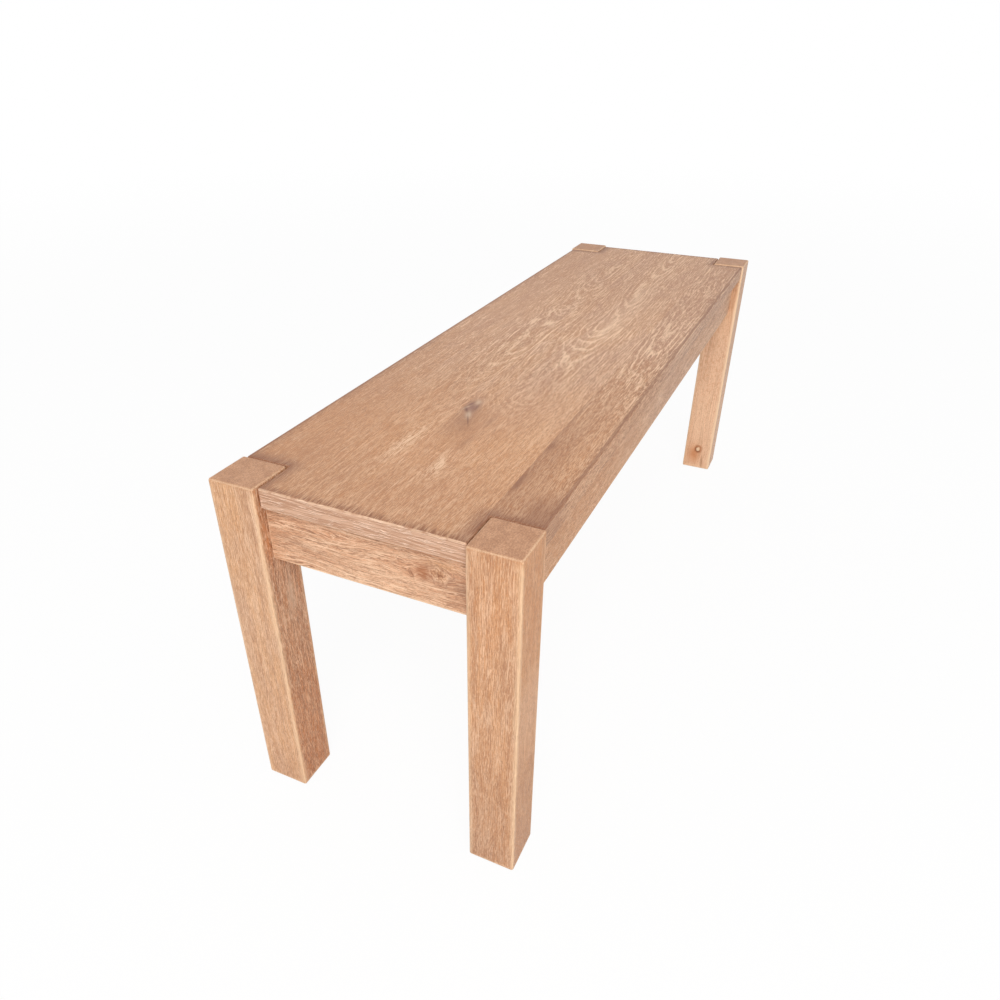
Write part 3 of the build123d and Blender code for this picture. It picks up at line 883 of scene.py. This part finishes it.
def glides():
    """Moulded brown plastic, fine grained, and scuffed pale where it slides on the floor."""
    material, shader, place = new_material("glide_plastic")
    tree = material.node_tree
    grain = noise(place, (0.6, 0.6, 0.6), 5.0, 3.0, 0.6)
    scuffs = noise(place, (9.0, 0.5, 2.0), 8.0, 3.0, 0.6)
    worn = ramp(place[2], 0.9, 0.1) * ramp(scuffs, 0.48, 0.62)
    paint = tint(ramp(grain, 0.35, 0.65) * 0.3, GLIDE_BROWN, GLIDE_SCUFF)
    tree.links.new(tint(worn * 0.7, paint, GLIDE_SCUFF), shader.inputs["Base Color"])
    plug(tree, shader.inputs["Roughness"], worn * 0.2 + grain * 0.2 + 0.42)
    bump(shader, grain - worn * 0.5, 0.05 * MM, 0.6)
    for corner in CORNERS:
        dress("foot_glide_" + corner, material)


# Fasteners, each skinned from rings of points in millimetres. Nought is the outer end, and the solid lies
# below it. THREAD_CREST is over 1, so that the thread's crests are cut off flat

SHANK_RADIUS = 2.0
SCREW_TIP = 5.0
HEAD_HEIGHT = 2.5
RECESS_HALF_LENGTH = 2.1
RECESS_HALF_WIDTH = 0.5
RECESS_DEPTH = 1.5
BOLT_TIP = 7.0
BOLT_BEVEL = 0.9
BOLT_THREADED = 14.0
THREAD_PITCH = 1.25
THREAD_DEPTH = 0.75
THREAD_CREST = 1.25
THREAD_STEPS = 6
ROUND_STEPS = 24
NUT_HOLE_RADIUS = 4.05
NUT_HOLE_BEVEL = 0.5
NUT_ROUND_SHARE = 0.97
NUT_STEPS = 48
SHARP_ANGLE = radians(32)


def solids_of(node):
    """The points of each separate solid of a node, in metres."""
    weld = bmesh.new()
    weld.from_mesh(NODES[node].data)
    bmesh.ops.remove_doubles(weld, verts=weld.verts, dist=0.01 * MM)
    weld.verts.index_update()
    found = []
    seen = set()
    for start in weld.verts:
        if start.index in seen:
            continue
        seen.add(start.index)
        group = []
        queue = [start]
        while queue:
            vert = queue.pop()
            group.append(vert.co.copy())
            for edge in vert.link_edges:
                other = edge.other_vert(vert)
                if other.index not in seen:
                    seen.add(other.index)
                    queue.append(other)
        found.append(group)
    weld.free()
    return found


def middle_of(points):
    """The middle of the box round some points."""
    low = [min(point[i] for point in points) for i in range(3)]
    high = [max(point[i] for point in points) for i in range(3)]
    return Vector([(first + last) / 2 for first, last in zip(low, high)])


def length_along(points, way):
    """How long some points reach in a given way, in millimetres."""
    reaches = [point.dot(way) for point in points]
    return (max(reaches) - min(reaches)) / MM


def outer_end(points, way):
    """The middle of the end that a round solid has in a given way."""
    middle = middle_of(points)
    return middle + way * (max(point.dot(way) for point in points) - middle.dot(way))


def thickness_at(points, way):
    """How far the points near the end in a given way stand off the solid's axis."""
    end = outer_end(points, way)
    offsets = [point - end for point in points]
    near = [offset for offset in offsets if -offset.dot(way) < 0.5 * HEAD_HEIGHT * MM]
    return max((offset - way * offset.dot(way)).length for offset in near)


def head_way(points):
    """The way from a screw's tip to its head. The screw lies along X, Y or Z."""
    ways = [axis * side for axis in (X_AXIS, Y_AXIS, Z_AXIS) for side in (-1, 1)]
    lengths = [length_along(points, way) for way in ways]
    longest = [way for way, length in zip(ways, lengths) if length > 0.99 * max(lengths)]
    return max(longest, key=lambda way: thickness_at(points, way))


def skin(mesh, rings, end, way, closed=False):
    """Joins rings of points, which run round the axis, into one skin that stands at an end."""
    turn = way.to_track_quat("Z", "Y").to_matrix()
    rows = [[mesh.verts.new(end + turn @ (Vector(point) * MM)) for point in ring] for ring in rings]
    pairs = list(zip(rows, rows[1:]))
    if closed:
        pairs.append((rows[-1], rows[0]))
    else:
        mesh.faces.new(rows[0])
        mesh.faces.new(rows[-1])
    for first, second in pairs:
        for i in range(len(first)):
            j = (i + 1) % len(first)
            mesh.faces.new((first[i], first[j], second[j], second[i]))


def circle(radius, height, angles):
    """A ring of points round the axis."""
    return [(radius * cos(angle), radius * sin(angle), height) for angle in angles]


def recess_angles():
    """The angles at which the cross recess turns its corners, and some between them."""
    arm = atan2(RECESS_HALF_WIDTH, RECESS_HALF_LENGTH)
    steps = (0.0, arm, radians(24), radians(34), pi / 4)
    quarter = list(steps) + [pi / 2 - step for step in reversed(steps[1:-1])]
    return [turn * pi / 2 + step for turn in range(4) for step in quarter]


def recess_radius(angle):
    """How far the edge of the cross recess lies from the middle."""
    off_arm = abs((angle + pi / 4) % (pi / 2) - pi / 4)
    along_arm = RECESS_HALF_LENGTH / cos(off_arm)
    if RECESS_HALF_LENGTH * tan(off_arm) <= RECESS_HALF_WIDTH * 1.001:
        return along_arm
    return RECESS_HALF_WIDTH / sin(off_arm)


def screw_rings(length, head_radius):
    """A pan head wood screw with a cross recess."""
    angles = recess_angles()
    shank = ((0.2, -length), (SHANK_RADIUS, SCREW_TIP - length), (SHANK_RADIUS, -HEAD_HEIGHT))
    head = (
        (head_radius, -HEAD_HEIGHT), (head_radius, -1.1), (head_radius - 0.2, -0.65),
        (head_radius - 0.6, -0.25), (head_radius - 1.1, 0.0),
    )
    rings = [circle(radius, height, angles) for radius, height in shank + head]
    edge = [(recess_radius(angle) * cos(angle), recess_radius(angle) * sin(angle)) for angle in angles]
    for share, height in ((1.0, 0.0), (0.8, -RECESS_DEPTH), (0.1, -RECESS_DEPTH - 0.3)):
        rings.append([(share * x, share * y, height) for x, y in edge])
    return rings


def bolt_rings(length, radius, threaded):
    """A hanger bolt: a threaded end, a plain shank and a point."""
    angles = [2 * pi * turn / ROUND_STEPS for turn in range(ROUND_STEPS)]
    shank = ((0.3, -length), (radius, BOLT_TIP - length), (radius, -threaded))
    rings = [circle(reach, height, angles) for reach, height in shank]
    count = ceil(threaded / THREAD_PITCH * THREAD_STEPS)
    for step in range(count + 1):
        height = -threaded * (1 - step / count)
        ring = []
        for angle in angles:
            turn = (height / THREAD_PITCH - angle / (2 * pi)) % 1.0
            crest = min(1.0, THREAD_CREST * (1 - abs(2 * turn - 1)))
            reach = min(radius - THREAD_DEPTH * (1 - crest), radius - BOLT_BEVEL - height)
            ring.append((reach * cos(angle), reach * sin(angle), height))
        rings.append(ring)
    return rings


def nut_rings(thickness, across_flats, hole):
    """A hexagon nut, whose corners are turned off at both ends, which leaves arcs on its flats."""
    angles = [2 * pi * turn / NUT_STEPS for turn in range(NUT_STEPS)]
    round_part = across_flats / 2 * NUT_ROUND_SHARE
    edge = [across_flats / 2 / cos((angle + pi / 6) % (pi / 3) - pi / 6) for angle in angles]
    drop = [(reach - round_part) * tan(pi / 6) for reach in edge]
    corners = zip(edge, angles, drop)
    upper = [(reach * cos(angle), reach * sin(angle), -down) for reach, angle, down in corners]
    lower = [(x, y, -thickness - z) for x, y, z in upper]
    mouth = ((round_part, 0), (hole + NUT_HOLE_BEVEL, 0), (hole, -NUT_HOLE_BEVEL))
    rings = [circle(hole, -thickness, angles), circle(round_part, -thickness, angles), lower, upper]
    return rings + [circle(radius, height, angles) for radius, height in mouth]


def fastener_piece(name, node, material, build):
    """One piece that stands for a node of fasteners. build skins one fastener from its points."""
    mesh = bmesh.new()
    for points in solids_of(node):
        build(mesh, points)
    bmesh.ops.recalc_face_normals(mesh, faces=mesh.faces)
    data = bpy.data.meshes.new(name)
    mesh.to_mesh(data)
    mesh.free()
    for face in data.polygons:
        face.use_smooth = True
    data.set_sharp_from_angle(angle=SHARP_ANGLE)
    data.materials.append(material)
    piece = new_object(name, data)
    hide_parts(node)
    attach(piece, "root")


def inward(points):
    """The level way from a leg to the middle of the bench, square to the corner block."""
    middle = middle_of(points)
    return Vector((-1 if middle.x > 0 else 1, -1 if middle.y > 0 else 1, 0)).normalized()


def add_screw(mesh, points):
    way = head_way(points)
    rings = screw_rings(length_along(points, way), thickness_at(points, way) / MM)
    skin(mesh, rings, outer_end(points, way), way)


def add_bolt(mesh, points):
    way = inward(points)
    radius = length_along(points, Z_AXIS) / 2
    rings = bolt_rings(length_along(points, way), radius, BOLT_THREADED)
    skin(mesh, rings, outer_end(points, way), way)


def add_nut(mesh, points):
    way = inward(points)
    across = length_along(points, Vector((way.y, -way.x, 0)))
    tall = length_along(points, Z_AXIS)
    rings = nut_rings(length_along(points, way), min(across, tall), NUT_HOLE_RADIUS)
    skin(mesh, rings, outer_end(points, way), way, closed=True)


def fasteners():
    yellow = steel("screw_steel", YELLOW_ZINC, YELLOW_ZINC_DULL)
    zinc = steel("zinc_steel", ZINC, ZINC_DULL)
    for node in ("corner_block_screws", "cleat_screws", "top_screws"):
        fastener_piece(node + "_pan_head", node, yellow, add_screw)
    fastener_piece("hanger_bolts_threaded", "hanger_bolts", zinc, add_bolt)
    fastener_piece("hanger_bolt_nuts_chamfered", "hanger_bolt_nuts", zinc, add_nut)
    dress("hanger_bolt_washers", zinc)


# Floor, sky, lamp and camera


def floor():
    """A pale round sheet that takes the bench's shadow and fades to white."""
    mesh = bpy.data.meshes.new("floor")
    turns = [2 * pi * turn / FLOOR_CORNERS for turn in range(FLOOR_CORNERS)]
    mesh.from_pydata(circle(FLOOR_RADIUS, 0, turns), [], [tuple(range(FLOOR_CORNERS))])
    piece = new_object("floor", mesh)
    material, shader, place = new_material("floor_paper")
    tree = material.node_tree
    speckle = noise(place, (FLOOR_SPECKLE_SIZE,) * 3, detail=3.0)
    paint = tint(speckle, grey(FLOOR_WHITE), grey(FLOOR_WHITE + FLOOR_SPECKLE))
    tree.links.new(paint, shader.inputs["Base Color"])
    shader.inputs["Roughness"].default_value = 0.9
    shader.inputs["Specular IOR Level"].default_value = 0.0
    glow = tree.nodes.new("ShaderNodeEmission")
    away = distance(place[0], place[1])
    fade = FLOOR_GLOW + ramp(away, FLOOR_FADE_FROM, FLOOR_FADE_TO) * (1 - FLOOR_GLOW)
    mix = tree.nodes.new("ShaderNodeMixShader")
    plug(tree, mix.inputs[0], seen_directly(tree) * fade)
    tree.links.new(shader.outputs[0], mix.inputs[1])
    tree.links.new(glow.outputs[0], mix.inputs[2])
    out = next(node for node in tree.nodes if node.type == "OUTPUT_MATERIAL")
    tree.links.new(mix.outputs[0], out.inputs["Surface"])
    mesh.materials.append(material)


def sky():
    world = bpy.data.worlds.new("studio")
    bpy.context.scene.world = world
    world.use_nodes = True
    tree = world.node_tree
    background = next(node for node in tree.nodes if node.type == "BACKGROUND")
    background.inputs["Color"].default_value = grey(1)
    plug(tree, background.inputs["Strength"], SKY_STRENGTH + seen_directly(tree) * (1 - SKY_STRENGTH))


def lamp():
    light = bpy.data.lights.new("key_softbox", "AREA")
    light.shape = "DISK"
    light.size = LAMP_WIDTH
    light.energy = LAMP_POWER
    light.color = LAMP_COLOUR
    piece = new_object("key_softbox", light)
    piece.location = LAMP_PLACE
    piece.rotation_euler = (LAMP_AIM - LAMP_PLACE).to_track_quat("-Z", "Y").to_euler()


def camera():
    lens = bpy.data.cameras.new("camera")
    lens.lens = CAMERA_LENS
    lens.sensor_width = CAMERA_PICTURE
    lens.shift_x, lens.shift_y = CAMERA_SHIFT
    lens.clip_end = CAMERA_REACH
    piece = new_object("camera", lens)
    piece.location = CAMERA_PLACE
    piece.rotation_euler = (radians(90 - CAMERA_DIP), 0, radians(CAMERA_TURN))
    bpy.context.scene.camera = piece


front_board()
middle_front_board()
middle_back_board()
back_board()
back_left_leg()
front_left_leg()
front_right_leg()
back_right_leg()
side_aprons()
end_aprons()
inner_wood()
fasteners()
glides()
floor()
sky()
lamp()
camera()
bpy.context.scene.view_settings.view_transform = "Standard"
